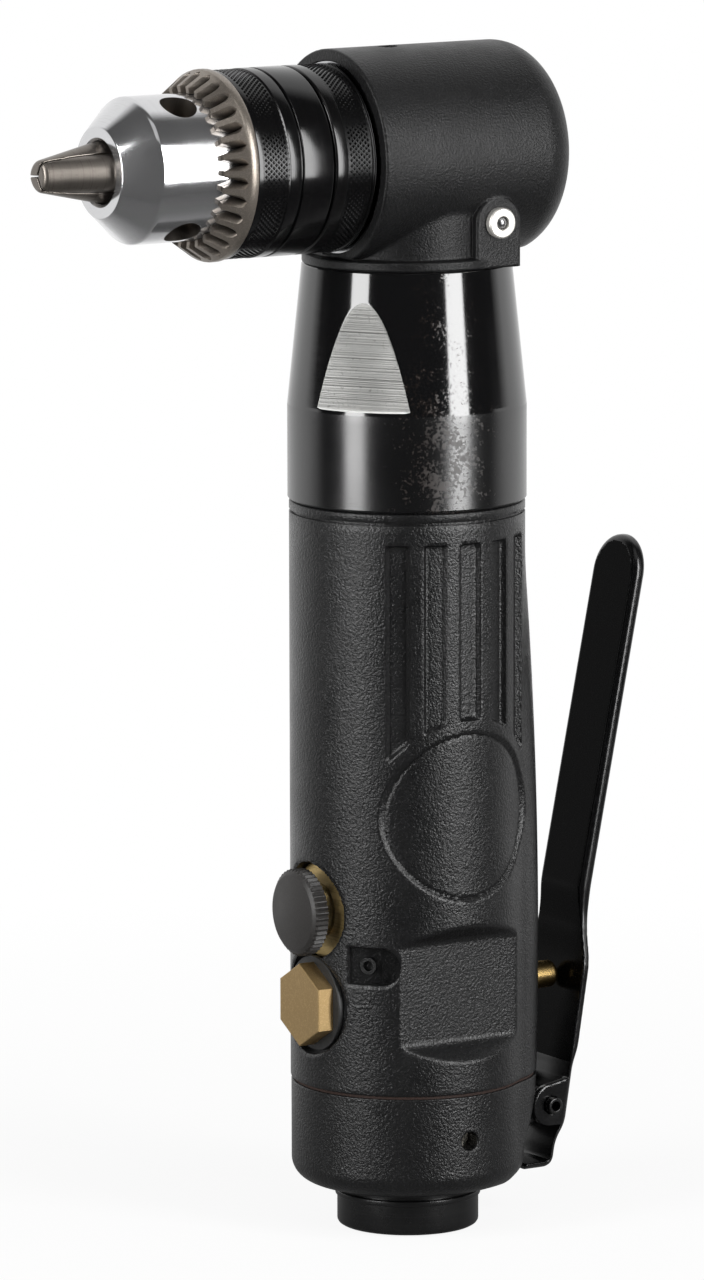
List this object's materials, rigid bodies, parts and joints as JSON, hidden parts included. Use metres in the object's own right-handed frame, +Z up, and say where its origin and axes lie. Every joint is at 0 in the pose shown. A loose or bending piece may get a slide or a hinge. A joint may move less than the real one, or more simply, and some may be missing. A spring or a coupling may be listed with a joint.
{
  "type": "right angle drill",
  "caption": "Reversible right angle air drill with a key chuck, bevel head, blackened gear case, textured grip, squeeze lever and threaded air inlet.",
  "frame": {"origin": "centre of the air inlet's mouth, at the lower end of the handle", "axes": "+Z up along the handle, -X along the chuck, +X towards the lever, -Y the side with the grease nipple"},
  "size_m": [0.1201, 0.0414, 0.2071],
  "materials": {
    "textured_black": "fine wrinkled powder coat on a casting",
    "black_oxide": "blackened and oiled",
    "gloss_black": "gloss paint",
    "polished_steel": "ground and polished",
    "jaw_steel": "hardened, dull",
    "gear_steel": "cut and hardened",
    "bearing_steel": "ground",
    "motor_iron": "ground",
    "vane": "laminate",
    "brass": "turned",
    "knob_grey": "dark anodised",
    "seal_rubber": "moulded",
    "gasket_fibre": "pressed fibre",
    "felt": "pressed felt"
  },
  "bodies": {
    "housing": {"head_housing": "textured_black", "grease_nipple": "polished_steel", "nipple_ball": "jaw_steel", "head_set_screw": "black_oxide", "bearing_retainer": "bearing_steel", "spindle_front_bearing": "bearing_steel", "spindle_rear_bearing": "bearing_steel", "gear_case": "black_oxide", "shaft_lower_bearing": "bearing_steel", "shaft_upper_bearing": "bearing_steel", "ring_gear": "gear_steel", "motor_housing": "textured_black", "motor_cylinder": "motor_iron", "front_end_plate": "motor_iron", "rear_end_plate": "motor_iron", "rotor_front_bearing": "bearing_steel", "rotor_rear_bearing": "bearing_steel", "cylinder_pin": "bearing_steel", "reverse_bush": "brass", "pocket_pin": "black_oxide", "throttle_bush": "brass", "valve_plug": "brass", "plug_washer": "seal_rubber", "end_cap": "textured_black", "cap_gasket": "gasket_fibre", "cap_dowel": "bearing_steel", "muffler": "felt", "inlet_bush": "black_oxide", "inlet_screen": "bearing_steel", "lever_pin": "black_oxide", "valve_spring": "bearing_steel"},
    "lever": {"throttle_lever": "gloss_black"},
    "throttle_valve": {"valve_stem": "brass", "valve_head": "bearing_steel", "valve_seal": "seal_rubber"},
    "reverse_valve": {"reverse_knob": "knob_grey", "reverse_spool": "bearing_steel", "spool_seal": "seal_rubber"},
    "spindle_group": {"spindle": "gear_steel", "bevel_gear": "gear_steel", "chuck_body": "polished_steel", "chuck_screw": "jaw_steel"},
    "sleeve_group": {"chuck_sleeve": "black_oxide", "chuck_nut": "gear_steel"},
    "jaw_1": {"chuck_jaw_1": "jaw_steel"},
    "jaw_2": {"chuck_jaw_2": "jaw_steel"},
    "jaw_3": {"chuck_jaw_3": "jaw_steel"},
    "carrier_group": {"bevel_pinion": "gear_steel", "planet_carrier": "gear_steel", "planet_pins": "bearing_steel"},
    "planet_1": {"planet_gear_1": "gear_steel"},
    "planet_2": {"planet_gear_2": "gear_steel"},
    "planet_3": {"planet_gear_3": "gear_steel"},
    "rotor_group": {"rotor": "motor_iron", "rotor_vanes": "vane"}
  },
  "joints": [
    {"name": "lever_pivot", "type": "hinge", "parent": "housing", "child": "lever", "pos_m": [0.02495, 0, 0.0193], "axis": [0, -1, 0], "range_deg": [0, 9], "stiffness_Nm_per_rad": 0.25, "springref_deg": -17.19},
    {"name": "throttle_slide", "type": "slide", "parent": "housing", "child": "throttle_valve", "axis": [-1, 0, 0], "range_m": [0, 0.0035], "deforming": ["valve_spring"]},
    {"name": "reverse_turn", "type": "hinge", "parent": "housing", "child": "reverse_valve", "pos_m": [0, 0, 0.0575], "axis": [-1, 0, 0], "range_deg": [0, 90]},
    {"name": "spindle_spin", "type": "hinge", "parent": "housing", "child": "spindle_group", "pos_m": [0, 0, 0.1885], "axis": [1, 0, 0], "continuous": true},
    {"name": "carrier_spin", "type": "hinge", "parent": "housing", "child": "carrier_group", "pos_m": [0, 0, 0.122], "axis": [0, 0, 1], "continuous": true},
    {"name": "rotor_spin", "type": "hinge", "parent": "housing", "child": "rotor_group", "pos_m": [0, 0, 0.09], "axis": [0, 0, 1], "continuous": true},
    {"name": "sleeve_turn", "type": "hinge", "parent": "spindle_group", "child": "sleeve_group", "pos_m": [0, 0, 0.1885], "axis": [1, 0, 0], "range_deg": [0, 4380]},
    {"name": "jaw_1_slide", "type": "slide", "parent": "spindle_group", "child": "jaw_1", "axis": [0.9724, -0.2331, 0.0122], "range_m": [0, 0.0195]},
    {"name": "planet_1_spin", "type": "hinge", "parent": "carrier_group", "child": "planet_1", "pos_m": [0.00945, 0, 0.115], "axis": [0, 0, 1], "continuous": true},
    {"name": "jaw_2_slide", "type": "slide", "parent": "spindle_group", "child": "jaw_2", "axis": [0.9724, 0.106, -0.208], "range_m": [0, 0.0195]},
    {"name": "planet_2_spin", "type": "hinge", "parent": "carrier_group", "child": "planet_2", "pos_m": [-0.00473, 0.00818, 0.115], "axis": [0, 0, 1], "continuous": true},
    {"name": "jaw_3_slide", "type": "slide", "parent": "spindle_group", "child": "jaw_3", "axis": [0.9724, 0.1271, 0.1958], "range_m": [0, 0.0195]},
    {"name": "planet_3_spin", "type": "hinge", "parent": "carrier_group", "child": "planet_3", "pos_m": [-0.00473, -0.00818, 0.115], "axis": [0, 0, 1], "continuous": true}
  ],
  "couplings": [
    {"joint": "throttle_slide", "follows": "lever_pivot", "m_per_rad": 0.0218},
    {"joint": "carrier_spin", "follows": "spindle_spin", "ratio": 2},
    {"joint": "rotor_spin", "follows": "spindle_spin", "ratio": 9},
    {"joint": "sleeve_turn", "follows": "jaw_1_slide", "rad_per_m": 3920},
    {"joint": "planet_1_spin", "follows": "spindle_spin", "ratio": -5.6},
    {"joint": "jaw_2_slide", "follows": "jaw_1_slide", "ratio": 1},
    {"joint": "planet_2_spin", "follows": "spindle_spin", "ratio": -5.6},
    {"joint": "jaw_3_slide", "follows": "jaw_1_slide", "ratio": 1},
    {"joint": "planet_3_spin", "follows": "spindle_spin", "ratio": -5.6}
  ]
}
